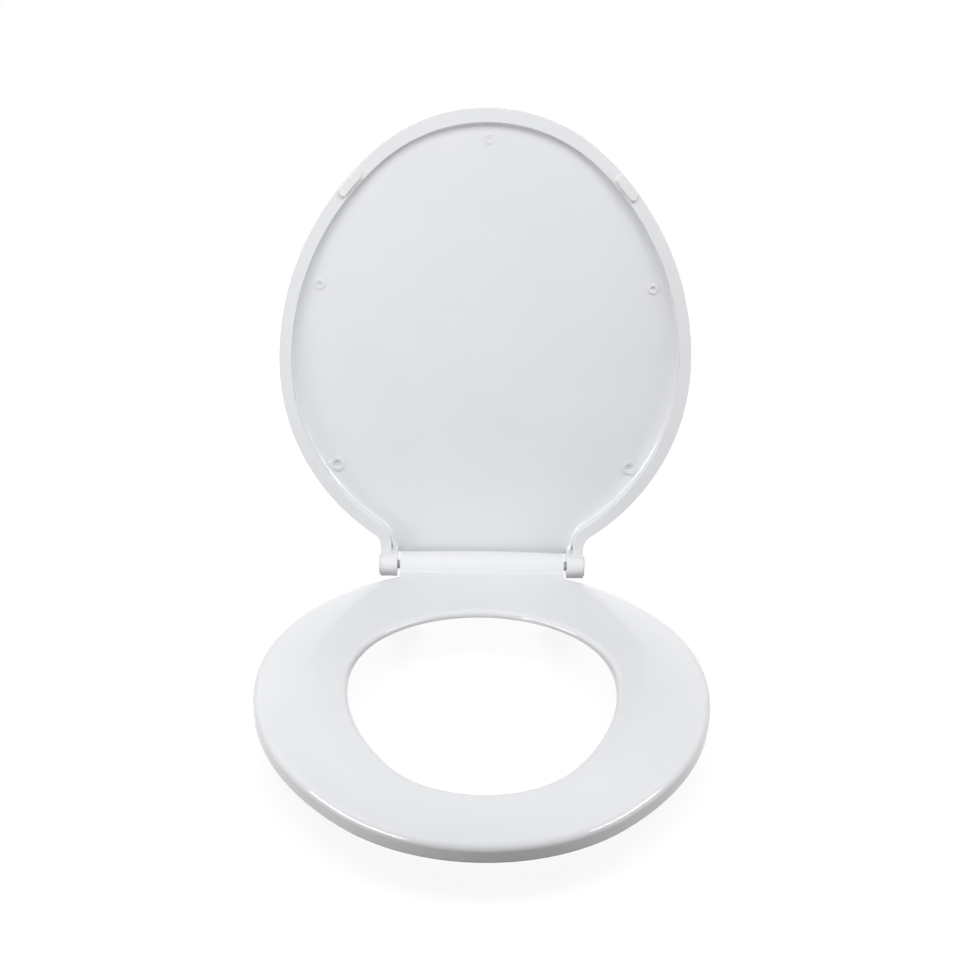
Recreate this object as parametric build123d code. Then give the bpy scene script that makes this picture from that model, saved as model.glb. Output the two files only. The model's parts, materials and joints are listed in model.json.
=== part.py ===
from build123d import *
from math import asin, atan2, cos, degrees, hypot, radians, sin, sqrt
import os

# Round-front toilet seat and lid, moulded in gloss plastic, hung on two eye bolts.
# Millimetres, +Z up, +X to the right of someone facing the seat, front towards -Y.
# The origin lies on the top of the pan, midway between the two bolts.
# The seat is down and the lid stands open. Distances along the seat run forward
# from the hinge axis, which is parallel to X and straight above the origin.

# Outline shared by the seat and the lid
SEAT_WIDTH = 365.5
SEAT_FRONT = 414.5
SEAT_WIDEST = 189.0
SEAT_BACK = -2.5
SEAT_FULLNESS = 1.0

# Opening of the seat, at the foot of its rounded lip
OPENING_WIDTH = 215.0
OPENING_FRONT = 361.6
OPENING_WIDEST = 199.0
OPENING_BACK = 90.8
OPENING_FULLNESS = 1.155

# Seat moulding: an open shell below, stiffened by ribs
SEAT_HEIGHT = 20.0
SEAT_WALL = 3.5
SEAT_OUTER_ROUND = 11.0
SEAT_INNER_ROUND = 5.0
SEAT_FOOT_ROUND = 2.0
SEAT_LIP = 6.0
RIB_COUNT = 18
RIB_THICKNESS = 2.4
RIB_SETBACK = 5.0
RIB_LIP_SETBACK = 1.0

# Pads under the seat, which carry it on the pan
SEAT_PAD_FRONT_BEARING = 40.0
SEAT_PAD_REAR_BEARING = 140.0
SEAT_PAD_LENGTH = 30.0
SEAT_PAD_WIDTH = 13.0
SEAT_PAD_HEIGHT = 6.0
SEAT_PAD_PEG_RADIUS = 2.5
SEAT_PAD_PEG_LENGTH = 7.0
SEAT_PAD_PEG_SPACING = 14.0
SEAT_PAD_EDGE_ROUND = 2.0
SEAT_PAD_BOSS_MARGIN = 2.0

# Fixing bolts and the pan they clamp
BOLT_SPREAD = 140.0
PAN_THICKNESS = 18.0
SHANK_RADIUS = 5.0
COLLAR_RADIUS = 6.5
THREAD_RADIUS = 4.2
THREAD_LENGTH = 17.5
BOLT_TIP_CHAMFER = 0.9
FLANGE_RADIUS = 11.5
FLANGE_THICKNESS = 3.0
EYE_RADIUS = 8.4
EYE_WIDTH = 11.0
POST_DEPTH = 9.0
UPPER_WASHER_RADIUS = 12.5
UPPER_WASHER_THICKNESS = 2.0
LOWER_WASHER_RADIUS = 12.0
LOWER_WASHER_THICKNESS = 2.5
NUT_HEIGHT = 11.0
NUT_RADIUS = 8.5
NUT_FOOT_RADIUS = 6.8
NUT_WING_SPAN = 32.0
NUT_WING_THICKNESS = 3.2
NUT_WING_ROUND = 3.6

# Hinge
AXIS_ABOVE_SEAT = 1.6
BARREL_RADIUS = 12.2
BARREL_CROWN = 1.2
BARREL_CREASE_ROUND = 2.0
PIN_RADIUS = 4.0
PIN_REACH = 26.0
PIN_HEAD_RADIUS = 9.4
PIN_HEAD_THICKNESS = 1.2
PIN_HEAD_ROUND = 0.8
PIN_TIP_CHAMFER = 0.8
EAR_RADIUS = 11.0
EAR_LENGTH = 15.4
EAR_GAP = 2.8
CORE_COUNT = 3
CORE_WIDTH = 12.0
CORE_WALL = 5.0

# Lid moulding
LID_RIM_WIDTH = 10.5
LID_NECK_WALL = 9.4
LID_NECK_FILLET = 15.5
LID_DEPTH = 17.4
LID_PANEL_THICKNESS = 3.2
LID_EDGE_ROUND = 7.0
LID_COVE = 8.0
LID_TAIL = 6.0
LID_PANEL_END = 6.0
LID_LEVEL_GAP = 3.0
OPEN_ANGLE = 91.0

# Pads on the lid's rim, which carry it on the seat
LID_PAD_TURN = 49.0
LID_PAD_LENGTH = 25.0
LID_PAD_WIDTH = 6.6
LID_PAD_PEG_RADIUS = 1.6
LID_PAD_PEG_LENGTH = 4.0
LID_PAD_PEG_SPACING = 13.0
LID_PAD_EDGE_ROUND = 1.0

# Round ejector bosses on the underside of the lid's panel
EJECTOR_HEIGHT = 0.8
EJECTOR_REAR_TURN = 122.5
EJECTOR_REAR_INSET = 20.9
EJECTOR_REAR_RADIUS = 6.4
EJECTOR_FRONT_TURN = 71.0
EJECTOR_FRONT_INSET = 24.6
EJECTOR_FRONT_RADIUS = 4.4
EJECTOR_DIMPLE = 0.55

# Clearances
RUNNING_FIT = 0.06
PEG_FIT = 0.05
THREAD_FIT = 0.05
EYE_END_PLAY = 0.5
EYE_ROUND_PLAY = 1.0
POST_PLAY = 1.2
HEAD_PLAY = 0.1
LID_PAD_PLAY = 0.2
BARREL_PLAY = 0.9
FLANGE_PLAY = 0.8
END_PLAY = 1.0

# Levels and places worked out from the sizes above
seat_floor = SEAT_PAD_HEIGHT
seat_top = seat_floor + SEAT_HEIGHT
lip_floor = seat_top - SEAT_LIP
axis_z = seat_top + AXIS_ABOVE_SEAT
rim_z = seat_top + LID_LEVEL_GAP
lid_top_z = rim_z + LID_DEPTH
panel_under_z = lid_top_z - LID_PANEL_THICKNESS
bolt_x = BOLT_SPREAD / 2
pocket_x = bolt_x - EYE_WIDTH / 2 - EYE_END_PLAY
barrel_x = bolt_x + EYE_WIDTH / 2 + EYE_END_PLAY
ear_inner_x = barrel_x + EAR_GAP
ear_outer_x = ear_inner_x + EAR_LENGTH
flange_under_z = UPPER_WASHER_THICKNESS
flange_top_z = flange_under_z + FLANGE_THICKNESS
pin_bore_end_x = pocket_x - PIN_REACH - END_PLAY
lid_pad_height = LID_LEVEL_GAP - LID_PAD_PLAY
hinge_axis = Axis((0, 0, axis_z), (1, 0, 0))
CUT = 1.0


class Oval:
    """Egg outline of tangent arcs: a tip arc and two side arcs in front, and the same behind.

    A place on it is named by its turn, the angle of the outward normal from straight ahead."""

    def __init__(self, width, front, widest, back, fullness):
        self.half = width / 2
        self.widest = widest
        self.reach = {True: front - widest, False: widest - back}
        self.tip = {True: fullness * self.half**2 / self.reach[True], False: self.half**2 / self.reach[False]}

    def side(self, ahead):
        """Radius of the side arcs."""
        rise = self.reach[ahead] - self.tip[ahead]
        return (self.half**2 + rise**2 - self.tip[ahead] ** 2) / (2 * (self.half - self.tip[ahead]))

    def meeting(self, ahead):
        """Lean of the normal, from straight ahead or straight back, where the tip arc meets a side arc."""
        rise = self.reach[ahead] - self.tip[ahead]
        return degrees(atan2(abs(self.side(ahead) - self.half), abs(rise)))

    def arc(self, turn):
        """Middle, as x and distance forward, and radius of the arc at a turn."""
        turn = (turn + 180) % 360 - 180
        ahead = abs(turn) <= 90
        lean = abs(turn) if ahead else 180 - abs(turn)
        if lean <= self.meeting(ahead):
            offset = self.reach[ahead] - self.tip[ahead]
            return 0.0, self.widest + (offset if ahead else -offset), self.tip[ahead]
        x = self.half - self.side(ahead)
        return (x if turn >= 0 else -x), self.widest, self.side(ahead)

    def point(self, turn, inset=0.0):
        """Point at a turn, moved inwards by inset."""
        x, forward, radius = self.arc(turn)
        x += (radius - inset) * sin(radians(turn))
        forward += (radius - inset) * cos(radians(turn))
        return (x, -forward)

    def edges(self, start, end, inset=0.0):
        """Arcs from one turn on to another."""
        front, back = self.meeting(True), self.meeting(False)
        breaks = (back - 180, -90, -front, front, 90, 180 - back, 180 + back, 270)
        turns = [start] + [turn for turn in breaks if start < turn < end] + [end]
        arcs = []
        for first, last in zip(turns, turns[1:]):
            middle = (first + last) / 2
            arcs.append(ThreePointArc(*(self.point(turn, inset) for turn in (first, middle, last))))
        return arcs

    def face(self, inset=0.0):
        """Flat face inside the outline, at height zero."""
        start = -self.meeting(True)
        return make_face(self.edges(start, start + 360, inset))


seat_oval = Oval(SEAT_WIDTH, SEAT_FRONT, SEAT_WIDEST, SEAT_BACK, SEAT_FULLNESS)
opening_oval = Oval(OPENING_WIDTH, OPENING_FRONT, OPENING_WIDEST, OPENING_BACK, OPENING_FULLNESS)


def rod(x_from, x_to, radius):
    """Cylinder on the hinge axis between two stations along X."""
    return Pos((x_from + x_to) / 2, 0, axis_z) * Rot(Y=90) * Cylinder(radius, abs(x_to - x_from))


def block(x_from, x_to, y_from, y_to, z_from, z_to):
    """Box between six planes."""
    middle = ((x_from + x_to) / 2, (y_from + y_to) / 2, (z_from + z_to) / 2)
    return Pos(*middle) * Box(abs(x_to - x_from), abs(y_to - y_from), abs(z_to - z_from))


def disc(x, y, z_from, z_to, radius):
    """Upright cylinder between two levels."""
    return Pos(x, y, (z_from + z_to) / 2) * Cylinder(radius, abs(z_to - z_from))


def mirrored(shape):
    """The same shape on the left."""
    return mirror(shape, about=Plane.YZ)


def pad(length, width, height, edge_round, peg_radius, peg_length, peg_spacing):
    """Oblong pad below height zero with two pegs above it."""
    body = extrude(SlotOverall(length, width), -height)
    body = fillet(body.faces().sort_by(Axis.Z)[0].edges(), edge_round)
    for side in (-1, 1):
        body += disc(side * peg_spacing / 2, 0, -edge_round / 2, peg_length, peg_radius)
    return body


def peg_holes(peg_radius, peg_length, peg_spacing):
    """Blind holes for the pegs of a pad, from just below height zero."""
    holes = []
    for side in (-1, 1):
        x = side * peg_spacing / 2
        holes.append(disc(x, 0, -CUT, peg_length + END_PLAY, peg_radius + PEG_FIT))
    return holes


def seat_core(inset, floor, inner_round, foot_round=0.0):
    """Solid between the outline and the opening, its walls and top moved inwards by inset."""
    height = seat_top - inset - floor
    body = extrude(Pos(0, 0, floor) * seat_oval.face(inset), height)
    outer_edges = body.faces().sort_by(Axis.Z)[-1].edges()
    body = fillet(outer_edges, SEAT_OUTER_ROUND - inset)
    if foot_round:
        body = fillet(body.faces().sort_by(Axis.Z)[0].edges(), foot_round)
    body -= extrude(Pos(0, 0, floor - CUT) * opening_oval.face(-inset), height + 2 * CUT)
    if inner_round:
        inner_edges = body.faces().sort_by(Axis.Z)[-1].inner_wires()[0].edges()
        body = fillet(inner_edges, inner_round)
    return body


def on_bearing(oval, bearing):
    """Point of an outline seen from the middle of the opening, at a bearing from straight ahead."""
    low, high = 0.0, 180.0
    for _ in range(50):
        turn = (low + high) / 2
        x, y = oval.point(turn)
        if degrees(atan2(x, -y - OPENING_WIDEST)) < abs(bearing):
            low = turn
        else:
            high = turn
    x, y = oval.point(low)
    return (x if bearing >= 0 else -x, y)


def across_band(bearing):
    """Middle of the seat's band on a bearing, and the width of the band there."""
    bearing = (bearing + 180) % 360 - 180
    outer = on_bearing(seat_oval, bearing)
    inner = on_bearing(opening_oval, bearing)
    middle = ((outer[0] + inner[0]) / 2, (outer[1] + inner[1]) / 2)
    return middle, hypot(outer[0] - inner[0], outer[1] - inner[1])


def seat_pad_bearings():
    """Bearing of each pad under the seat, midway between two ribs."""
    pitch = 360 / RIB_COUNT
    front = round(SEAT_PAD_FRONT_BEARING / pitch) * pitch
    rear = round(SEAT_PAD_REAR_BEARING / pitch) * pitch
    return {
        "front_right": front,
        "front_left": -front,
        "rear_right": rear,
        "rear_left": -rear,
    }


def seat_pad_place(bearing):
    """Where a seat pad meets its boss."""
    middle, width = across_band(bearing)
    return Pos(middle[0], middle[1], seat_floor) * Rot(Z=bearing)


def seat_rib(width):
    """Upright rib across the band, deep at the outer wall and running out at the lip."""
    outer, inner = -width / 2, width / 2
    profile = make_face(
        Polyline(
            (outer, seat_floor + RIB_SETBACK),
            (inner, lip_floor + RIB_LIP_SETBACK),
            (inner, seat_top),
            (outer, seat_top),
            close=True,
        )
    )
    return extrude(Plane.YZ * profile, RIB_THICKNESS / 2, both=True)


def barrel():
    """Crowned hinge barrel across the back of the seat."""
    crown = ThreePointArc(
        (-barrel_x, BARREL_RADIUS),
        (0, BARREL_RADIUS + BARREL_CROWN),
        (barrel_x, BARREL_RADIUS),
    )
    rim = Polyline((barrel_x, BARREL_RADIUS), (barrel_x, 0), (-barrel_x, 0), (-barrel_x, BARREL_RADIUS))
    profile = make_face([crown, rim])
    return Pos(0, 0, axis_z) * revolve(Plane.XZ * profile, Axis.X)


def make_seat_ring():
    """Seat with its opening, ribs, pad bosses and hinge barrel."""
    tongue_front = -2 * BARREL_RADIUS - SEAT_OUTER_ROUND / 2
    tongue = block(-barrel_x, barrel_x, tongue_front, 0, seat_floor, seat_top)
    hollow = block(
        SEAT_WALL - barrel_x,
        barrel_x - SEAT_WALL,
        tongue_front - CUT,
        -SEAT_WALL,
        seat_floor - CUT,
        seat_top - SEAT_WALL,
    )
    ring = seat_core(0, seat_floor, SEAT_INNER_ROUND, SEAT_FOOT_ROUND) + tongue
    ring -= seat_core(SEAT_WALL, seat_floor - CUT, 0)
    ring -= hollow
    below_lip = opening_oval.face(-SEAT_WALL - CUT)
    ring -= extrude(Pos(0, 0, seat_floor - CUT) * below_lip, SEAT_HEIGHT - SEAT_LIP + CUT)
    reach = seat_core(SEAT_WALL / 2, seat_floor, SEAT_INNER_ROUND - SEAT_WALL / 2)
    ribs = []
    for index in range(RIB_COUNT):
        bearing = (index + 0.5) * 360 / RIB_COUNT
        middle, width = across_band(bearing)
        ribs.append(Pos(middle[0], middle[1], 0) * Rot(Z=bearing) * seat_rib(width) & reach)
    ring += ribs
    for bearing in seat_pad_bearings().values():
        place = seat_pad_place(bearing)
        margin = 2 * SEAT_PAD_BOSS_MARGIN
        plan = SlotOverall(SEAT_PAD_LENGTH + margin, SEAT_PAD_WIDTH + margin)
        ring += place * extrude(plan, 2 * SEAT_HEIGHT) & reach
        for hole in peg_holes(SEAT_PAD_PEG_RADIUS, SEAT_PAD_PEG_LENGTH, SEAT_PAD_PEG_SPACING):
            ring -= place * hole
    ring += barrel()
    crease_y = -sqrt(BARREL_RADIUS**2 - AXIS_ABOVE_SEAT**2)
    crease = [
        edge
        for edge in ring.edges()
        if abs(edge.center().Z - seat_top) < 0.01
        and abs(edge.center().Y - crease_y) < BARREL_CROWN + 0.5
        and edge.length > barrel_x
    ]
    ring = fillet(crease, BARREL_CREASE_ROUND)
    post_room = POST_DEPTH / 2 + POST_PLAY
    far = 2 * BARREL_RADIUS + SEAT_HEIGHT
    for side in (-1, 1):
        inner, outer = side * pocket_x, side * (barrel_x + CUT)
        ring -= rod(inner, outer, EYE_RADIUS + EYE_ROUND_PLAY)
        ring -= block(inner, outer, -post_room, far, seat_floor - far, axis_z + post_room)
        ring -= rod(side * pin_bore_end_x, outer, PIN_RADIUS + RUNNING_FIT)
        ring -= disc(side * bolt_x, 0, -CUT, flange_top_z + FLANGE_PLAY, FLANGE_RADIUS + FLANGE_PLAY)
    core_span = 2 * (pin_bore_end_x - CORE_WALL)
    core_length = (core_span - (CORE_COUNT - 1) * CORE_WALL) / CORE_COUNT
    for index in range(CORE_COUNT):
        x_from = -core_span / 2 + index * (core_length + CORE_WALL)
        core_top = axis_z + BARREL_RADIUS - CORE_WALL
        ring -= block(x_from, x_from + core_length, -CORE_WIDTH / 2, CORE_WIDTH / 2, 0, core_top)
    return ring


def shoulder(inset, neck_half):
    """Turn at which the lid's outline leaves the oval for the neck, and the middle of the fillet there."""
    turn = 180.0
    for _ in range(2):
        x, forward, radius = seat_oval.arc(turn)
        reach = radius + LID_NECK_FILLET
        across = neck_half + LID_NECK_FILLET + inset - x
        turn = 180 - degrees(asin(across / reach))
    middle = (x + across, -(forward + reach * cos(radians(turn))))
    return turn, middle


def lid_plan(inset, neck_half, neck_end):
    """Plan of the lid: the oval run into a straight neck, with filleted shoulders."""
    turn, middle = shoulder(inset, neck_half)
    neck_round = LID_NECK_FILLET + inset
    half_way = radians((90 + turn) / 2)
    bend = (middle[0] - neck_round * sin(half_way), middle[1] + neck_round * cos(half_way))
    outline = seat_oval.edges(-turn, turn, inset)
    for side in (-1, 1):
        start = seat_oval.point(side * turn, inset)
        outline.append(ThreePointArc(start, (side * bend[0], bend[1]), (side * neck_half, middle[1])))
    corners = [(1, middle[1]), (1, neck_end), (-1, neck_end), (-1, middle[1])]
    outline.append(Polyline(*((side * neck_half, y) for side, y in corners)))
    return make_face(outline)


def rounded_slab(plan, floor, top, edge_round):
    """Slab whose top edge is rounded, except at the hinge."""
    slab = extrude(Pos(0, 0, floor) * plan, top - floor)
    edges = slab.faces().sort_by(Axis.Z)[-1].edges().sort_by(Axis.Y)
    return fillet(edges[:-1], edge_round)


def ejector_places():
    """Place and radius of each round boss under the panel."""
    places = []
    for side in (-1, 1):
        x, y = seat_oval.point(side * EJECTOR_REAR_TURN, EJECTOR_REAR_INSET)
        places.append((x, y, EJECTOR_REAR_RADIUS))
    for turn in (-EJECTOR_FRONT_TURN, 0, EJECTOR_FRONT_TURN):
        x, y = seat_oval.point(turn, EJECTOR_FRONT_INSET)
        places.append((x, y, EJECTOR_FRONT_RADIUS))
    return places


def lid_pad_place(side):
    """Where a lid pad sits, with the lid closed."""
    turn = side * LID_PAD_TURN
    x, y = seat_oval.point(turn, LID_RIM_WIDTH / 2)
    return Pos(x, y, rim_z) * Rot(Z=turn)


def make_lid():
    """Lid, closed: a shallow shell with a flat rim, a neck and two ears."""
    plan = lid_plan(0, ear_outer_x, LID_TAIL)
    body = rounded_slab(plan, rim_z, lid_top_z, LID_EDGE_ROUND)
    room_plan = lid_plan(LID_RIM_WIDTH, ear_outer_x - LID_NECK_WALL, LID_TAIL + CUT)
    room = rounded_slab(room_plan, rim_z - CUT, panel_under_z, LID_COVE)
    lid = body - room
    for x, y, radius in ejector_places():
        foot = panel_under_z - EJECTOR_HEIGHT
        lid += disc(x, y, foot, panel_under_z + LID_PANEL_THICKNESS / 2, radius)
        lid -= disc(x, y, foot - CUT, panel_under_z + EJECTOR_HEIGHT / 2, EJECTOR_DIMPLE * radius)
    lid -= block(-ear_inner_x, ear_inner_x, -LID_PANEL_END, LID_TAIL + CUT, 0, lid_top_z + CUT)
    lid -= rod(-ear_inner_x, ear_inner_x, BARREL_RADIUS + BARREL_CROWN + BARREL_PLAY)
    for side in (-1, 1):
        inner, outer = side * ear_inner_x, side * ear_outer_x
        web = block(inner, outer, -EAR_RADIUS, LID_TAIL, axis_z, lid_top_z)
        lid += rod(inner, outer, EAR_RADIUS) + (web & body)
        lid -= rod(inner - side * CUT, outer + side * CUT, PIN_RADIUS + RUNNING_FIT)
        for hole in peg_holes(LID_PAD_PEG_RADIUS, LID_PAD_PEG_LENGTH, LID_PAD_PEG_SPACING):
            lid -= lid_pad_place(side) * hole
    return lid


def make_hinge_bolt():
    """Right-hand eye bolt: eye, post, flange, collar, plain shank and thread."""
    inner, outer = bolt_x - EYE_WIDTH / 2, bolt_x + EYE_WIDTH / 2
    thread_from = -PAN_THICKNESS
    bolt = rod(inner, outer, EYE_RADIUS)
    bolt += block(inner, outer, -POST_DEPTH / 2, POST_DEPTH / 2, flange_under_z, axis_z)
    bolt += disc(bolt_x, 0, flange_under_z, flange_top_z, FLANGE_RADIUS)
    bolt += disc(bolt_x, 0, 0, flange_top_z, COLLAR_RADIUS)
    bolt += disc(bolt_x, 0, thread_from, flange_under_z, SHANK_RADIUS)
    bolt += disc(bolt_x, 0, thread_from - THREAD_LENGTH, flange_under_z, THREAD_RADIUS)
    tip = bolt.faces().sort_by(Axis.Z)[0].edges()
    bolt = chamfer(tip, BOLT_TIP_CHAMFER)
    return bolt - rod(inner - CUT, outer + CUT, PIN_RADIUS + RUNNING_FIT)


def make_hinge_pin():
    """Right-hand pin with a low round head outside the ear."""
    head_from = ear_outer_x + HEAD_PLAY
    head_to = head_from + PIN_HEAD_THICKNESS
    head = rod(head_from, head_to, PIN_HEAD_RADIUS)
    head = fillet(head.faces().sort_by(Axis.X)[-1].edges(), PIN_HEAD_ROUND)
    pin = head + rod(pocket_x - PIN_REACH, head_from + PIN_HEAD_THICKNESS / 2, PIN_RADIUS)
    return chamfer(pin.faces().sort_by(Axis.X)[0].edges(), PIN_TIP_CHAMFER)


def make_upper_washer():
    """Right-hand soft washer between flange and pan."""
    hole = disc(bolt_x, 0, -CUT, UPPER_WASHER_THICKNESS + CUT, COLLAR_RADIUS + PEG_FIT)
    return disc(bolt_x, 0, 0, UPPER_WASHER_THICKNESS, UPPER_WASHER_RADIUS) - hole


def make_lower_washer():
    """Right-hand washer under the pan."""
    top = -PAN_THICKNESS
    floor = top - LOWER_WASHER_THICKNESS
    hole = disc(bolt_x, 0, floor - CUT, top + CUT, THREAD_RADIUS + THREAD_FIT)
    return disc(bolt_x, 0, floor, top, LOWER_WASHER_RADIUS) - hole


def make_wing_nut():
    """Right-hand nut with two rounded wings, under the lower washer."""
    top = -PAN_THICKNESS - LOWER_WASHER_THICKNESS
    floor = top - NUT_HEIGHT
    middle = (top + floor) / 2
    wing_plan = Pos(0, middle) * RectangleRounded(NUT_WING_SPAN, NUT_HEIGHT, NUT_WING_ROUND)
    wings = extrude(Plane.XZ * wing_plan, NUT_WING_THICKNESS / 2, both=True)
    nut = Pos(bolt_x, 0, 0) * wings
    nut += Pos(bolt_x, 0, middle) * Cone(NUT_FOOT_RADIUS, NUT_RADIUS, NUT_HEIGHT)
    return nut - disc(bolt_x, 0, floor - CUT, top + CUT, THREAD_RADIUS + THREAD_FIT)


def build():
    """Every piece, by name, where it sits."""
    pieces = {"seat_ring": make_seat_ring()}
    pieces["lid"] = make_lid().rotate(hinge_axis, -OPEN_ANGLE)
    makers = {
        "hinge_bolt": make_hinge_bolt,
        "hinge_pin": make_hinge_pin,
        "upper_washer": make_upper_washer,
        "lower_washer": make_lower_washer,
        "wing_nut": make_wing_nut,
    }
    for name, make in makers.items():
        right = make()
        pieces[name + "_right"] = right
        pieces[name + "_left"] = mirrored(right)
    seat_pad = pad(
        SEAT_PAD_LENGTH,
        SEAT_PAD_WIDTH,
        SEAT_PAD_HEIGHT,
        SEAT_PAD_EDGE_ROUND,
        SEAT_PAD_PEG_RADIUS,
        SEAT_PAD_PEG_LENGTH,
        SEAT_PAD_PEG_SPACING,
    )
    for name, bearing in seat_pad_bearings().items():
        pieces["seat_buffer_" + name] = seat_pad_place(bearing) * seat_pad
    lid_pad = pad(
        LID_PAD_LENGTH,
        LID_PAD_WIDTH,
        lid_pad_height,
        LID_PAD_EDGE_ROUND,
        LID_PAD_PEG_RADIUS,
        LID_PAD_PEG_LENGTH,
        LID_PAD_PEG_SPACING,
    )
    for name, side in (("right", 1), ("left", -1)):
        closed = lid_pad_place(side) * lid_pad
        pieces["lid_buffer_" + name] = closed.rotate(hinge_axis, -OPEN_ANGLE)
    return pieces


os.makedirs("parts", exist_ok=True)
for name, shape in build().items():
    export_step(shape, f"parts/{name}.step")
    print(name, round(shape.volume), "mm3")
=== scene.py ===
# %% [markdown]
# A round-front toilet seat with its lid standing open, moulded in glossy white plastic.
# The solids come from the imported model: the seat with its opening and hinge barrel, the lid
# with its rim and recess, and the bolts, pins, washers, nuts and pads that carry them.
# This lesson dresses them. It starts by loading the model as a fixed frame, because every
# piece made later takes its place from it, and by keeping the box that the model fills.

# %% Load the frame
import json
from math import cos, pi, radians, sin

import bmesh
import bpy
import numpy as np
from mathutils import Matrix, Vector


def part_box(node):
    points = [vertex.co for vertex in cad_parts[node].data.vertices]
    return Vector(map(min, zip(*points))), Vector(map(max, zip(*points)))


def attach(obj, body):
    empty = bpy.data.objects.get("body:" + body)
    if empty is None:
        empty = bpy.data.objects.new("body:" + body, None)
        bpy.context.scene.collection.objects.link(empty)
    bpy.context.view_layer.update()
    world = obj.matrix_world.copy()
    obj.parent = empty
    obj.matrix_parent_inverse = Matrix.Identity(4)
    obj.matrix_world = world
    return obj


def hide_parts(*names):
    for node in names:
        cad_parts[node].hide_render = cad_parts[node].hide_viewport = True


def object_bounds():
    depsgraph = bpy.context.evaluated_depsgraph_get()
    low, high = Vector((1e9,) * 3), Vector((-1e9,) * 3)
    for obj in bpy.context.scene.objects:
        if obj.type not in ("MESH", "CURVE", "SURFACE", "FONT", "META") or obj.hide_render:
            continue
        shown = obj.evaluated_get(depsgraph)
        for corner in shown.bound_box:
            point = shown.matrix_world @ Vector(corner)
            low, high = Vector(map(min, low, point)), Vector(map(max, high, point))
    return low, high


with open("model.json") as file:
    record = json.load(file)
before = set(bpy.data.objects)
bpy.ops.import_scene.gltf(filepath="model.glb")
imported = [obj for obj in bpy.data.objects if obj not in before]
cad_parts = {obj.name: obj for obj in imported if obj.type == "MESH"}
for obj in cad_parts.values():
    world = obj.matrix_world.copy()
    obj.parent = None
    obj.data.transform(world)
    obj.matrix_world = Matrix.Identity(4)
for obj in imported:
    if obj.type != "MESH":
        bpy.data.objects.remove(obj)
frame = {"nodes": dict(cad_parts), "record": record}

for name in ("Cube", "Light", "Camera"):
    if name in bpy.data.objects:
        bpy.data.objects.remove(bpy.data.objects[name])
cad_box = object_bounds()
scene = bpy.context.scene
scene.view_settings.view_transform = "Standard"

# %% [markdown]
# The camera stands a little over a metre in front of the seat and looks down at it by about
# 22 degrees, as a person does who walks up to it. It could be aimed by eye with a tracking
# constraint. Here its three directions are worked out from a heading, a fall and a small
# roll, because the outlines of seat, opening and lid then fall where they should to a pixel.

# %% Camera
IMAGE_SIZE = 960
FOCAL_PIXELS = 1375.231
SENSOR = 36.0
CAMERA_TARGET = Vector((-0.0042159, -0.180, 0.186014))
CAMERA_DISTANCE = 1.061632
HEADING, FALL, ROLL = -0.006371, 0.382767, -0.016665

back = Vector((sin(HEADING) * cos(FALL), -cos(HEADING) * cos(FALL), sin(FALL)))
right = (-back).cross(Vector((0, 0, 1))).normalized()
down = (-back).cross(right)
level_right = cos(ROLL) * right + sin(ROLL) * down
level_down = -sin(ROLL) * right + cos(ROLL) * down
camera_data = bpy.data.cameras.new("camera")
camera_data.sensor_width = SENSOR
camera_data.lens = FOCAL_PIXELS * SENSOR / IMAGE_SIZE
camera = bpy.data.objects.new("camera", camera_data)
turn = Matrix((level_right, -level_down, back)).transposed().to_4x4()
camera.matrix_world = Matrix.Translation(CAMERA_TARGET + back * CAMERA_DISTANCE) @ turn
scene.collection.objects.link(camera)
scene.camera = camera
camera_place = tuple(round(v, 3) for v in camera.matrix_world.translation)
print("camera at", camera_place, "lens", round(camera_data.lens, 2))

# %% [markdown]
# White plastic on white needs light with a direction, or it turns into a flat patch. A wide
# softbox above and a little in front lights the seat's top, and its front wall stays in half
# shade. A low one faces the open lid, two stand level with the seat at its sides, and one
# behind keeps the back of the lid from going grey. All of these give light without showing
# in the gloss. The bright lines along the front edge come from two cards, on the left and
# the right, that show in the gloss and give no light.
# A lamp's power is set from the share of a plain level that it gives at a distance:
# power = share * pi^2 * distance^2.

# %% Softboxes
SEAT_MIDDLE, SEAT_WALLS = (0.0, -0.25, 0.05), (0.0, -0.30, 0.03)
LID_INSIDE, LID_BACK = (0.0, 0.0, 0.24), (0.0, 0.05, 0.20)
EDGE_LEFT, EDGE_RIGHT = (-0.083, -0.389, 0.02), (0.094, -0.38, 0.02)
SIDE_BOX = (0.6, 0.3)


def softbox(name, place, target, size, share, card=False):
    """Area lamp at a place, turned to a target, that gives a share of the plain level there.

    A softbox lights and isn't mirrored; a card is mirrored in gloss and doesn't light."""
    lamp = bpy.data.lights.new(name, "AREA")
    lamp.shape = "RECTANGLE"
    lamp.size, lamp.size_y = size
    direction = Vector(target) - Vector(place)
    lamp.energy = share * pi**2 * direction.length_squared
    holder = bpy.data.objects.new(name, lamp)
    facing = direction.to_track_quat("-Z", "Y").to_matrix().to_4x4()
    holder.matrix_world = Matrix.Translation(place) @ facing
    holder.visible_camera = False
    holder.visible_diffuse = not card
    holder.visible_glossy = card
    scene.collection.objects.link(holder)
    print(name, round(lamp.energy, 2), "W")


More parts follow.
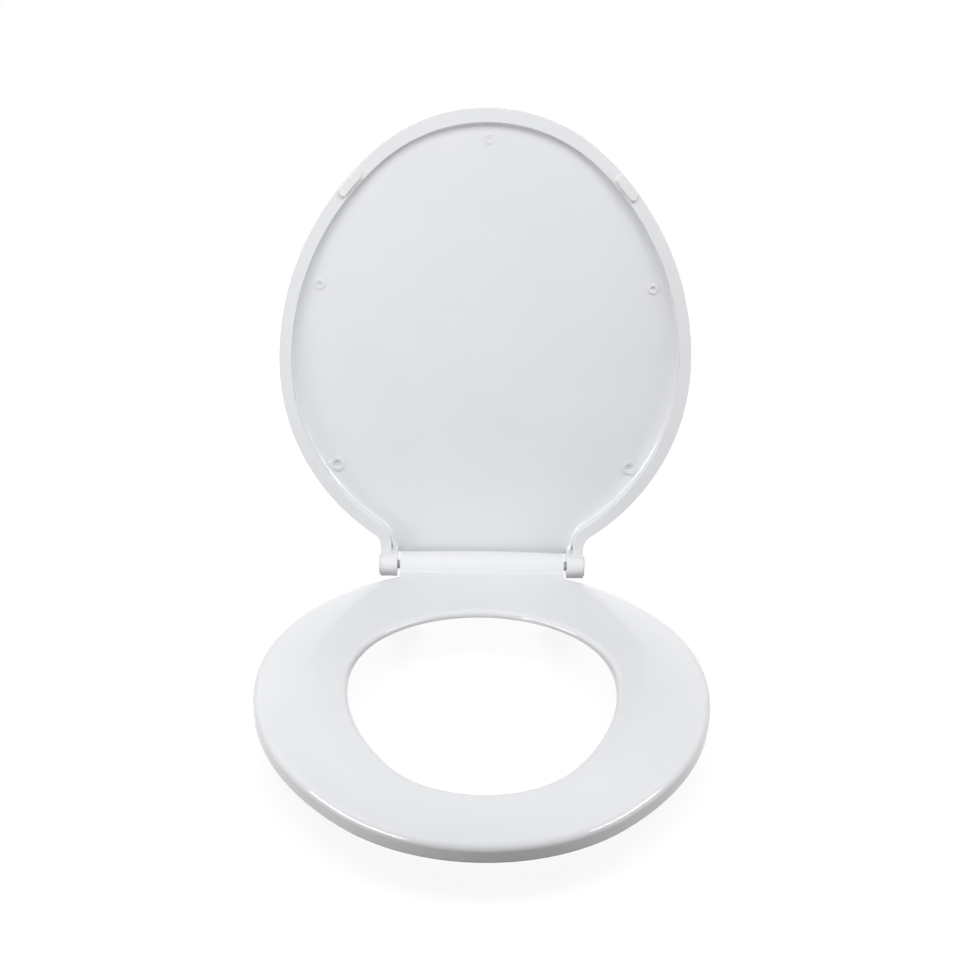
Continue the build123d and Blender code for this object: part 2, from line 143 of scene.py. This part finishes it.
softbox("softbox_above", (0.04, -0.66, 1.12), SEAT_MIDDLE, size=(1.6, 0.5), share=0.98)
softbox("softbox_lid", (-0.12, -0.40, 0.27), LID_INSIDE, size=(0.6, 0.16), share=0.25)
softbox("softbox_left", (-1.05, -0.62, 0.10), SEAT_WALLS, size=SIDE_BOX, share=0.36)
softbox("softbox_right", (1.10, -0.42, 0.10), SEAT_WALLS, size=SIDE_BOX, share=0.27)
softbox("softbox_behind", (0.0, 1.20, 0.50), LID_BACK, size=(0.5, 0.35), share=0.85)
softbox("card_left", (-1.125, -0.82, 0.38), EDGE_LEFT, size=(1.25, 0.30), share=1.00, card=True)
softbox("card_right", (1.162, -0.523, 0.548), EDGE_RIGHT, size=(0.9, 0.22), share=0.52, card=True)

# %% [markdown]
# The room round the softboxes is dim, and the background is white. One world does both: the
# Light Path node tells which kind of ray asks. What the camera or a reflection sees is white
# at strength 1, and what lights the seat is a weak grey.

# %% World
ROOM_LIGHT = 0.07
ROOM_TINT = (0.98, 0.99, 1.0, 1)
WHITE = (1, 1, 1, 1)


def sees_background(tree):
    """Socket that is one for rays from the camera, from a mirror-like surface or through glass."""
    path = tree.nodes.new("ShaderNodeLightPath")
    total = path.outputs["Is Camera Ray"]
    for kind in ("Is Glossy Ray", "Is Transmission Ray"):
        larger = tree.nodes.new("ShaderNodeMath")
        larger.operation = "MAXIMUM"
        tree.links.new(total, larger.inputs[0])
        tree.links.new(path.outputs[kind], larger.inputs[1])
        total = larger.outputs[0]
    return total


def seen_or_lighting(tree, lighting, seen, out):
    """Output that shows one shader to rays that see the background and another to the rest."""
    mix = tree.nodes.new("ShaderNodeMixShader")
    tree.links.new(sees_background(tree), mix.inputs["Fac"])
    tree.links.new(lighting.outputs[0], mix.inputs[1])
    tree.links.new(seen.outputs[0], mix.inputs[2])
    tree.links.new(mix.outputs[0], out.inputs["Surface"])


world = bpy.data.worlds.new("white_room")
world.use_nodes = True
scene.world = world
tree = world.node_tree
tree.nodes.clear()
room = tree.nodes.new("ShaderNodeBackground")
room.inputs["Strength"].default_value = ROOM_LIGHT
room.inputs["Color"].default_value = ROOM_TINT
sheet = tree.nodes.new("ShaderNodeBackground")
sheet.inputs["Color"].default_value = WHITE
seen_or_lighting(tree, room, sheet, tree.nodes.new("ShaderNodeOutputWorld"))
print("world: room light", ROOM_LIGHT)

# %% [markdown]
# The floor lies at the tips of the bolts. It looks white, with a faint soft shadow, but gives
# little light back, so the walls of the seat darken towards their feet. To the camera it is
# mostly a glow with a little matt grey over it, which the shadow takes away; to the rays that
# light the seat it is a matt dark grey. Far from the seat the glow alone is white.

# %% Floor
FLOOR_HALF = 6.0
FLOOR_GLOW, FAR_GLOW = 0.90, 1.0
GLOW_RISES_FROM, GLOW_RISES_TO = 0.45, 1.0
SEAT_CENTRE_Y = -0.15
VEIL_GREY = (0.16, 0.16, 0.16, 1)
BOUNCE_GREY = (0.10, 0.096, 0.092, 1)


def set_inputs(node, **numbers):
    """Numbers on a node's sockets, whose names are written with _ for a space."""
    for socket, number in numbers.items():
        node.inputs[socket.replace("_", " ")].default_value = number


floor_z = cad_box[0].z
corners = [(x * FLOOR_HALF, y * FLOOR_HALF, floor_z) for x, y in ((-1, -1), (1, -1), (1, 1), (-1, 1))]
floor_mesh = bpy.data.meshes.new("floor")
floor_mesh.from_pydata(corners, [], [(0, 1, 2, 3)])
floor = bpy.data.objects.new("floor", floor_mesh)
scene.collection.objects.link(floor)
paper = bpy.data.materials.new("studio_floor")
paper.use_nodes = True
tree = paper.node_tree
tree.nodes.clear()
place = tree.nodes.new("ShaderNodeTexCoord")
away = tree.nodes.new("ShaderNodeVectorMath")
away.operation = "DISTANCE"
away.inputs[1].default_value = (0, SEAT_CENTRE_Y, floor_z)
rise = tree.nodes.new("ShaderNodeMapRange")
set_inputs(rise, From_Min=GLOW_RISES_FROM, From_Max=GLOW_RISES_TO, To_Min=FLOOR_GLOW, To_Max=FAR_GLOW)
glow = tree.nodes.new("ShaderNodeEmission")
veil = tree.nodes.new("ShaderNodeBsdfDiffuse")
veil.inputs["Color"].default_value = VEIL_GREY
bounce = tree.nodes.new("ShaderNodeBsdfDiffuse")
bounce.inputs["Color"].default_value = BOUNCE_GREY
white = tree.nodes.new("ShaderNodeAddShader")
tree.links.new(place.outputs["Object"], away.inputs[0])
tree.links.new(away.outputs["Value"], rise.inputs["Value"])
tree.links.new(rise.outputs["Result"], glow.inputs["Strength"])
tree.links.new(glow.outputs[0], white.inputs[0])
tree.links.new(veil.outputs[0], white.inputs[1])
seen_or_lighting(tree, bounce, white, tree.nodes.new("ShaderNodeOutputMaterial"))
floor_mesh.materials.append(paper)
print("floor at", round(floor_z, 4))

# %% [markdown]
# Moulded plastic is never quite one colour or one gloss. The melt leaves faint clouds, the
# polish of the mould varies, and a shiny face carries a shallow waviness, like orange peel,
# a few millimetres across. Faces that look down come from the plain half of the mould and
# are duller. Each finish is built from noise on object coordinates, so that it moves with its
# piece, and the normal in object coordinates tells which faces look down. A finish could be
# one flat colour, but under a softbox that looks like paint on paper.

# %% Patterns of the finishes
NOISE_LOW, NOISE_HIGH = 0.3, 0.7
TINT_LOW, TINT_HIGH = 0.35, 0.65


def noise(tree, coords, scale, detail=2.0):
    """Noise whose grains are about 1 / scale metres across."""
    node = tree.nodes.new("ShaderNodeTexNoise")
    set_inputs(node, Scale=scale, Detail=detail)
    tree.links.new(coords.outputs["Object"], node.inputs["Vector"])
    return node.outputs["Fac"]


def spread(tree, value, low, high, start=NOISE_LOW, end=NOISE_HIGH):
    """Value carried from start...end to low...high."""
    node = tree.nodes.new("ShaderNodeMapRange")
    set_inputs(node, From_Min=start, From_Max=end, To_Min=low, To_Max=high)
    tree.links.new(value, node.inputs["Value"])
    return node.outputs["Result"]


def tint(tree, value, first, second):
    """Colour that a noise moves between two tints."""
    ramp = tree.nodes.new("ShaderNodeValToRGB")
    stops = ramp.color_ramp.elements
    stops[0].position, stops[1].position = TINT_LOW, TINT_HIGH
    stops[0].color, stops[1].color = (*first, 1), (*second, 1)
    tree.links.new(value, ramp.inputs["Fac"])
    return ramp.outputs["Color"]


def bump(tree, value, strength, depth, under=None):
    """Relief of a depth in metres, over another relief where there is one."""
    node = tree.nodes.new("ShaderNodeBump")
    set_inputs(node, Strength=strength, Distance=depth)
    tree.links.new(value, node.inputs["Height"])
    if under is not None:
        tree.links.new(under, node.inputs["Normal"])
    return node.outputs["Normal"]


def new_finish(name):
    """Material, its node tree, its shader and its coordinates."""
    material = bpy.data.materials.new(name)
    material.use_nodes = True
    tree = material.node_tree
    shader = tree.nodes["Principled BSDF"]
    coords = tree.nodes.new("ShaderNodeTexCoord")
    return material, tree, shader, coords


# %% Finishes
PLASTIC_IOR = 1.49
POLISH_SPREAD, DULLNESS_BELOW = 0.05, 0.30
DULL_FROM, DULL_TO = -0.5, -0.95
PEEL_DEPTH, POLISHED_GRAIN_DEPTH = 0.00006, 0.00001
SATIN_GRAIN_DEPTH, RUBBER_GRAIN_DEPTH = 0.00005, 0.00006


def gloss_plastic(name, first, second, gloss):
    """Polished white moulding with faint clouds, orange peel, and a duller side that looks down."""
    material, tree, shader, coords = new_finish(name)
    clouds = noise(tree, coords, scale=14.0, detail=4.0)
    tree.links.new(tint(tree, clouds, first, second), shader.inputs["Base Color"])
    split = tree.nodes.new("ShaderNodeSeparateXYZ")
    tree.links.new(coords.outputs["Normal"], split.inputs[0])
    polish = spread(tree, noise(tree, coords, scale=45.0, detail=3.0), gloss, gloss + POLISH_SPREAD)
    dull = spread(tree, split.outputs["Z"], DULLNESS_BELOW, 0.0, start=DULL_TO, end=DULL_FROM)
    total = tree.nodes.new("ShaderNodeMath")
    tree.links.new(polish, total.inputs[0])
    tree.links.new(dull, total.inputs[1])
    tree.links.new(total.outputs[0], shader.inputs["Roughness"])
    peel = bump(tree, noise(tree, coords, scale=240.0), 0.10, PEEL_DEPTH)
    grain = bump(tree, noise(tree, coords, scale=2600.0), 0.05, POLISHED_GRAIN_DEPTH, under=peel)
    tree.links.new(grain, shader.inputs["Normal"])
    set_inputs(shader, IOR=PLASTIC_IOR)
    return material


def satin_plastic(name, first, second):
    """Unpolished moulding of the fixings, with a fine even grain."""
    material, tree, shader, coords = new_finish(name)
    clouds = noise(tree, coords, scale=60.0, detail=3.0)
    tree.links.new(tint(tree, clouds, first, second), shader.inputs["Base Color"])
    patches = noise(tree, coords, scale=300.0, detail=3.0)
    tree.links.new(spread(tree, patches, 0.36, 0.50), shader.inputs["Roughness"])
    grain = bump(tree, noise(tree, coords, scale=1800.0, detail=3.0), 0.20, SATIN_GRAIN_DEPTH)
    tree.links.new(grain, shader.inputs["Normal"])
    set_inputs(shader, IOR=PLASTIC_IOR)
    return material


def soft_rubber(name, first, second):
    """Soft elastomer: matt, slightly blotched, with a dusty grain."""
    material, tree, shader, coords = new_finish(name)
    blotches = noise(tree, coords, scale=120.0, detail=4.0)
    tree.links.new(tint(tree, blotches, first, second), shader.inputs["Base Color"])
    patches = noise(tree, coords, scale=500.0, detail=3.0)
    tree.links.new(spread(tree, patches, 0.55, 0.75), shader.inputs["Roughness"])
    grain = bump(tree, noise(tree, coords, scale=2200.0, detail=4.0), 0.30, RUBBER_GRAIN_DEPTH)
    tree.links.new(grain, shader.inputs["Normal"])
    return material


SEAT_WHITE = (0.775, 0.785, 0.805), (0.790, 0.798, 0.815)
LID_WHITE = (0.770, 0.780, 0.800), (0.785, 0.793, 0.810)
FIXING_WHITE = (0.70, 0.70, 0.69), (0.74, 0.74, 0.73)
WASHER_GREY = (0.44, 0.44, 0.43), (0.50, 0.50, 0.49)
PAD_WHITE = (0.74, 0.745, 0.75), (0.80, 0.80, 0.805)
finishes = {
    "seat_plastic": gloss_plastic("seat_plastic_gloss", *SEAT_WHITE, gloss=0.05),
    "lid_plastic": gloss_plastic("lid_plastic_gloss", *LID_WHITE, gloss=0.10),
    "fixing_plastic": satin_plastic("fixing_plastic_satin", *FIXING_WHITE),
    "washer_rubber": soft_rubber("washer_rubber_grey", *WASHER_GREY),
    "pad_rubber": soft_rubber("pad_rubber_white", *PAD_WHITE),
}
slot_of = {part["node"]: part["material_slot"] for part in frame["record"]["subparts"]}
for node, holder in frame["nodes"].items():
    holder.material_slots[0].material = finishes[slot_of[node]]
print("finishes:", ", ".join(finishes))

# %% [markdown]
# Two mouldings differ a little from their solids, which have level faces and one size of
# round. The seat's top rolls down to a lower, tighter edge towards the front. The lid's panel
# comes nearer to the rim towards the tip, so that its recess grows shallow there, with a
# tighter cove round it and crisper ejector marks on it. Both could be modelled afresh, but
# then every rib and bore would be modelled again too. Here a copy of the solid is merged and
# its points are moved by a formula, as one array, so that all the rest stays where it was.
# The weighted normals keep the flat faces flat next to the rounds.

# %% Copies of the solids
MERGE_DISTANCE = 1e-6
SHARP_FROM = radians(35)


def merged_copy(name, node):
    """Mesh of a solid with its loose triangles joined."""
    mesh = bpy.data.meshes.new(name)
    shape = bmesh.new()
    shape.from_mesh(frame["nodes"][node].data)
    bmesh.ops.remove_doubles(shape, verts=shape.verts, dist=MERGE_DISTANCE)
    shape.to_mesh(mesh)
    shape.free()
    if "custom_normal" in mesh.attributes:
        mesh.attributes.remove(mesh.attributes["custom_normal"])
    return mesh


def move_points(mesh, formula):
    """Mesh whose points go where a formula of all points and their normals puts them."""
    points, normals = np.empty((2, len(mesh.vertices), 3))
    mesh.vertices.foreach_get("co", points.ravel())
    mesh.vertex_normals.foreach_get("vector", normals.ravel())
    mesh.vertices.foreach_set("co", formula(points, normals).ravel())


def dressed(mesh, node, body, slot):
    """Object that stands for a node, with smooth rounds, flat faces and the slot's finish."""
    mesh.polygons.foreach_set("use_smooth", np.ones(len(mesh.polygons), dtype=bool))
    mesh.set_sharp_from_angle(angle=SHARP_FROM)
    mesh.materials.clear()
    mesh.materials.append(finishes[slot])
    piece = bpy.data.objects.new(mesh.name, mesh)
    scene.collection.objects.link(piece)
    weighted = piece.modifiers.new("flat_faces_stay_flat", "WEIGHTED_NORMAL")
    weighted.keep_sharp = True
    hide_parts(node)
    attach(piece, body)
    print(piece.name, len(mesh.polygons), "faces")


def ease(value, start, end):
    """Zero at start, one at end, with a smooth rise between them: 3 share^2 - 2 share^3."""
    share = np.clip((value - start) / (end - start), 0, 1)
    return share * share * (3 - 2 * share)


# %% Seat with a falling front edge
SEAT_TOP, SEAT_ROUND, EDGE_FALL = 0.026, 0.011, 0.005
FALL_STARTS_Y, FALL_FULL_Y = -0.13, -0.25
CEILING_STARTS_Z, CEILING_FULL_Z = 0.0155, 0.020
OPENING_MIDDLE = np.array((0.0, -0.225))
FACES_OUT, FACES_UP, FACES_DOWN = 0.001, 0.01, -0.02
PLAY = 1e-5
NO_LENGTH = 1e-9


def falling_edge(points, normals):
    """Points of the seat with its outer round drawn tighter and lower.

    A point of the round has a tilt whose cosine is 1 - (top - height) / round. It moves outwards by
    fall * (1 - sine of the tilt) and down by fall * cosine of the tilt, so the wall stays in place.
    The ceiling of the hollow below goes down with the edge."""
    level_length = np.linalg.norm(normals[:, :2], axis=1)
    outward = normals[:, :2] / np.maximum(level_length, NO_LENGTH)[:, None]
    faces_out = np.sum(normals[:, :2] * (points[:, :2] - OPENING_MIDDLE), axis=1) > FACES_OUT
    above_wall = (points[:, 2] > SEAT_TOP - SEAT_ROUND) & (points[:, 2] < SEAT_TOP + PLAY)
    on_round = faces_out & above_wall & (normals[:, 2] > FACES_UP)
    in_hollow = above_wall & (normals[:, 2] < FACES_DOWN)
    cosine = np.clip(1 - (SEAT_TOP - points[:, 2]) / SEAT_ROUND, 0, 1)
    sine = np.sqrt(1 - cosine**2)
    fall = EDGE_FALL * ease(points[:, 1], FALL_STARTS_Y, FALL_FULL_Y)
    ceiling = ease(points[:, 2], CEILING_STARTS_Z, CEILING_FULL_Z)
    moved = points.copy()
    moved[:, :2] += (fall * on_round * (1 - sine))[:, None] * outward
    moved[:, 2] -= fall * (on_round * cosine + in_hollow * ceiling)
    print("points moved on the seat:", int(np.count_nonzero(fall * (on_round | in_hollow))))
    return moved


seat_mesh = merged_copy("seat_with_falling_edge", "seat_ring")
move_points(seat_mesh, falling_edge)
dressed(seat_mesh, "seat_ring", "seat", "seat_plastic")

# %% Lid with a recess that grows shallow
HINGE_HEIGHT, LEAN = 0.0276, radians(1.0)
LID_MIDDLE = 0.225
RIM_LEVEL, PANEL_LEVEL = 0.0014, 0.0156
RECESS_START, RECESS_END, RECESS_LOSS = 0.012, 0.404, 0.65
COVE_ROUND, COVE_LOSS, COVE_MISS = 0.008, 0.006, 0.12
REAR_MARK, SIDE_MARK, TIP_MARK = (0.1344, 0.0949), (0.14577, 0.26299), (0.0, 0.3899)
MARK_REACH, MARK_LIMIT, MARK_GAIN = 0.0068, 0.001, 1.2
FACES_MIDDLE, FACES_THROUGH, FACES_LEVEL = -0.01, 0.3, 0.01

pairs = [(side * across, along) for across, along in (REAR_MARK, SIDE_MARK) for side in (-1, 1)]
marks = np.array(pairs + [TIP_MARK])


def turned(up, back, angle):
    """Two lengths, up and back, in directions that lean back by an angle."""
    return up * cos(angle) + back * sin(angle), back * cos(angle) - up * sin(angle)


def shallow_recess(points, normals):
    """Points of the lid with a tighter cove, crisper marks and an inside scaled towards the rim.

    The lid's own directions are across, along it from the hinge and through it from the rim. A
    point of the cove has a tilt whose cosine is 1 - height over the panel / round; it moves to the
    wall by loss * (1 - sine) and to the panel by loss * (1 - cosine). A point of an ejector mark
    rises by gain * its height. Then an inside point keeps a share of its depth that falls evenly
    from one at the hinge to 1 - recess loss at the tip."""
    along, through = turned(points[:, 2] - HINGE_HEIGHT, points[:, 1], LEAN)
    normal_along, normal_through = turned(normals[:, 2], normals[:, 1], LEAN)
    across, normal_across = points[:, 0].copy(), normals[:, 0]
    inwards = normal_across * across + normal_along * (along - LID_MIDDLE) < FACES_MIDDLE
    faces_front = normal_through < -FACES_THROUGH
    on_wall = inwards & (normal_through < FACES_THROUGH)
    inside = (through > RIM_LEVEL) & (faces_front | on_wall)
    height = PANEL_LEVEL - through
    cosine = np.clip(1 - height / COVE_ROUND, 0, 1)
    sine = np.sqrt(1 - cosine**2)
    level = np.hypot(normal_across, normal_along)
    in_reach = inside & (height > -PLAY) & (height < COVE_ROUND + PLAY)
    to_mark = np.hypot(across[:, None] - marks[:, 0], along[:, None] - marks[:, 1]).min(axis=1)
    follows_cove = (level > FACES_LEVEL) & (np.abs(normal_through + cosine) < COVE_MISS)
    on_cove = in_reach & follows_cove & (to_mark > MARK_REACH)
    on_mark = in_reach & (to_mark < MARK_REACH) & (height < MARK_LIMIT)
    to_wall = COVE_LOSS * on_cove * (1 - sine) / np.maximum(level, FACES_LEVEL)
    across -= to_wall * normal_across
    along -= to_wall * normal_along
    through += COVE_LOSS * on_cove * (1 - cosine) - MARK_GAIN * on_mark * height
    loss = RECESS_LOSS * np.clip((along - RECESS_START) / (RECESS_END - RECESS_START), 0, 1)
    through -= (through - RIM_LEVEL) * loss * inside
    up, back = turned(along, through, -LEAN)
    counts = [int(np.count_nonzero(mask)) for mask in (inside, on_cove, on_mark)]
    print("points moved on the lid:", counts[0], "on its cove:", counts[1], "on its marks:", counts[2])
    return np.stack([across, back, up + HINGE_HEIGHT], axis=-1)


lid_mesh = merged_copy("lid_with_shallow_recess", "lid")
move_points(lid_mesh, shallow_recess)
dressed(lid_mesh, "lid", "lid", "lid_plastic")

# %% [markdown]
# Each fixing bolt ends in a coarse moulded thread, which the solid shows as a plain rod. A
# thread could be a screw modifier on a small profile. Here it is one surface over height and
# angle: the radius swings between root and crest as a rounded wave whose phase climbs one
# pitch in each turn, and the wave dies out at both ends. The bolt above it is a copy of the
# solid, merged, cut at the foot of the plain shank and closed there.

# %% Thread surface
THREAD_ROOT, THREAD_CREST, THREAD_PITCH = 0.00352, 0.00418, 0.0025
THREAD_TOP, THREAD_OVERLAP = -0.018, 0.0002
THREAD_COLUMNS, ROWS_PER_PITCH = 48, 14
WAVE_MIDDLE, WAVE_SWING = 0.5, 0.75
FADE_AT_TIP, FADE_AT_SHANK = THREAD_PITCH, 0.4 * THREAD_PITCH


def grid_faces(rows, columns):
    """Quads between neighbouring rows of a grid whose columns run round and close."""
    row, column = np.meshgrid(np.arange(rows - 1), np.arange(columns), indexing="ij")
    here, onward = row * columns, (column + 1) % columns
    quads = [here + column, here + onward, here + columns + onward, here + columns + column]
    return np.stack(quads, axis=-1).reshape(-1, 4)


def thread(centre_x, bottom, top):
    """Mesh of a threaded rod, closed at both ends.

    Radius = root + (crest - root) * wave * ends: the wave is a cosine of height / pitch - angle,
    lifted and flattened, and ends falls to zero over a pitch at the tip and less at the shank."""
    rows = int((top - bottom) / (THREAD_PITCH / ROWS_PER_PITCH)) + 1
    z = np.linspace(bottom, top, rows)[:, None]
    angle = np.linspace(0, 2 * pi, THREAD_COLUMNS, endpoint=False)[None, :]
    phase = z / THREAD_PITCH - angle / (2 * pi)
    wave = np.clip(WAVE_MIDDLE + WAVE_SWING * np.cos(2 * pi * phase), 0, 1)
    ends = np.clip((z - bottom) / FADE_AT_TIP, 0, 1) * np.clip((top - z) / FADE_AT_SHANK, 0, 1)
    radius = THREAD_ROOT + (THREAD_CREST - THREAD_ROOT) * wave * ends
    x, y = centre_x + radius * np.cos(angle), radius * np.sin(angle)
    rings = np.stack([x, y, z + 0 * angle], axis=-1)
    first = np.arange(THREAD_COLUMNS)[::-1]
    last = np.arange(THREAD_COLUMNS) + (rows - 1) * THREAD_COLUMNS
    rod = bpy.data.meshes.new("thread")
    faces = grid_faces(rows, THREAD_COLUMNS).tolist() + [first.tolist(), last.tolist()]
    rod.from_pydata(rings.reshape(-1, 3), [], faces)
    return rod


# %% Threaded bolts
for side in ("right", "left"):
    node = f"hinge_bolt_{side}"
    low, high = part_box(node)
    bolt_mesh = merged_copy(f"threaded_bolt_{side}", node)
    rod = thread((low.x + high.x) / 2, low.z, THREAD_TOP + THREAD_OVERLAP)
    shape = bmesh.new()
    shape.from_mesh(bolt_mesh)
    everything = shape.verts[:] + shape.edges[:] + shape.faces[:]
    cut = {"plane_co": Vector((0, 0, THREAD_TOP - THREAD_OVERLAP)), "plane_no": (0, 0, 1)}
    bmesh.ops.bisect_plane(shape, geom=everything, clear_inner=True, **cut)
    bmesh.ops.holes_fill(shape, edges=[edge for edge in shape.edges if edge.is_boundary])
    shape.from_mesh(rod)
    bmesh.ops.recalc_face_normals(shape, faces=shape.faces)
    shape.to_mesh(bolt_mesh)
    shape.free()
    bpy.data.meshes.remove(rod)
    dressed(bolt_mesh, node, "fixings", "fixing_plastic")
